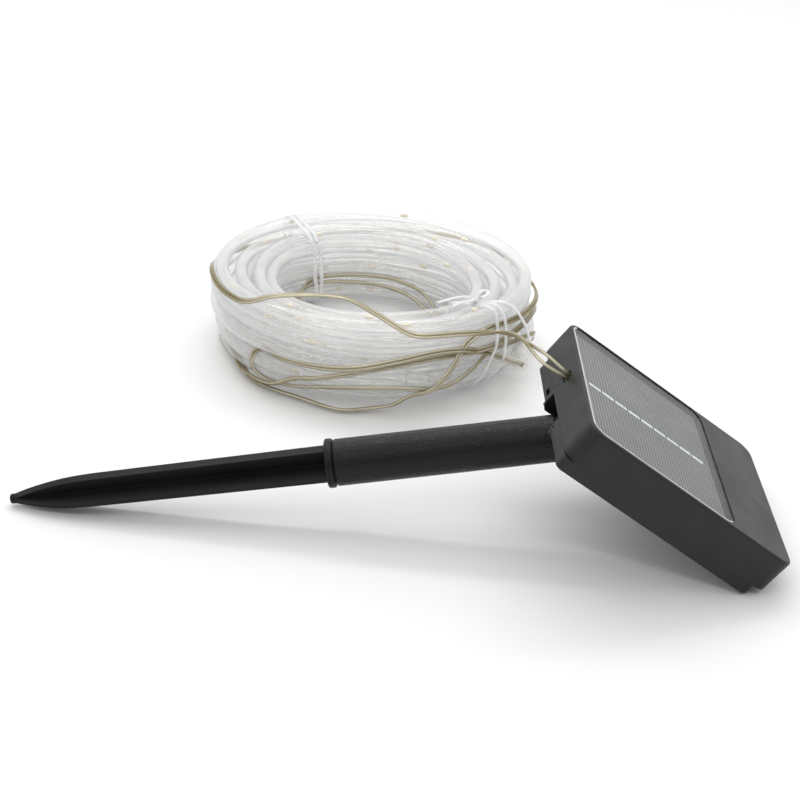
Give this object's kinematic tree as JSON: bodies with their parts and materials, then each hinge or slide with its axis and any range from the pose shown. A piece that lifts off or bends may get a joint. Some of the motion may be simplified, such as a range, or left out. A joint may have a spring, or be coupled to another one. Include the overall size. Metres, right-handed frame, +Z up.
{
  "type": "solar tube lights",
  "caption": "Solar head tilting on a tube stem with a plug-in ground spike, and a twin lead to a tied coil of clear tube with lamps inside.",
  "frame": {"origin": "on the bench, under the middle of the solar head, stem and spike as they lie", "axes": "+Z up, +X along the object from the spike point towards the head, +Y across the head towards the coil"},
  "size_m": [0.3296, 0.2905, 0.0802],
  "materials": {
    "shell_plastic": "fine matt grain, charcoal",
    "stem_plastic": "matt black with a leather grain",
    "spike_plastic": "semi-gloss black",
    "window_clear": "clear, glossy",
    "cell_silicon": "grey with fine printed lines",
    "ribbon_metal": "tinned, satin",
    "black_rubber": "matt",
    "steel": "zinc plated",
    "battery_wrap": "shrink sleeve",
    "board_green": "solder mask",
    "black_plastic": "moulded",
    "wire_red": "wire sleeve",
    "clear_tube": "clear soft tube, slightly milky",
    "lead_clear": "clear twin lead over tinned copper",
    "tie_clear": "flat clear strap",
    "cap_clear": "moulded cap",
    "copper_wire": "bright wire",
    "lamp_phosphor": "lamp chip"
  },
  "bodies": {
    "head": {"front_shell": "shell_plastic", "window_pane": "window_clear", "solar_cell": "cell_silicon", "cell_ribbon": "ribbon_metal", "cell_wires": "wire_red", "housing_gasket": "black_rubber", "rear_cover": "shell_plastic", "battery": "battery_wrap", "contact_plates": "steel", "contact_spring": "steel", "circuit_board": "board_green", "driver_chip": "black_plastic", "boost_choke": "black_plastic", "board_switches": "black_plastic", "housing_screws": "steel", "board_screws": "steel", "cable_grommet": "black_rubber", "hinge_bolt": "steel", "hinge_nut": "steel", "friction_washers": "steel", "lamp_coil": "clear_tube", "lead_loops": "lead_clear", "lead_run": "lead_clear", "lead_splice": "cap_clear", "tube_end_cap": "cap_clear", "left_tie": "tie_clear", "right_tie": "tie_clear"},
    "door": {"battery_door": "shell_plastic"},
    "power": {"power_button": "black_rubber"},
    "mode": {"mode_button": "black_rubber"},
    "knuckle": {"hinge_knuckle": "stem_plastic"},
    "stem": {"stem_tube": "stem_plastic"},
    "spike": {"ground_spike": "spike_plastic"}
  },
  "joints": [
    {"name": "head_tilt", "type": "hinge", "parent": "head", "child": "knuckle", "pos_m": [0.08287, -0.006, 0.05044], "axis": [0, 1, 0], "range_deg": [-45, 12]},
    {"name": "stem_turn", "type": "hinge", "parent": "knuckle", "child": "stem", "pos_m": [0.06323, -0.006, 0.04668], "axis": [-0.9821, 0, -0.1882], "continuous": true},
    {"name": "spike_pull", "type": "slide", "parent": "stem", "child": "spike", "axis": [-0.9821, 0, -0.1882], "range_m": [0, 0.024]},
    {"name": "door_lift", "type": "slide", "parent": "head", "child": "door", "axis": [-0.5614, 0, -0.8276], "range_m": [0, 0.006]},
    {"name": "power_press", "type": "slide", "parent": "head", "child": "power", "axis": [0.5614, 0, 0.8276], "range_m": [0, 0.0006], "stiffness_N_per_m": 400, "springref_m": -0.0006},
    {"name": "mode_press", "type": "slide", "parent": "head", "child": "mode", "axis": [0.5614, 0, 0.8276], "range_m": [0, 0.0006], "stiffness_N_per_m": 400, "springref_m": -0.0006}
  ]
}
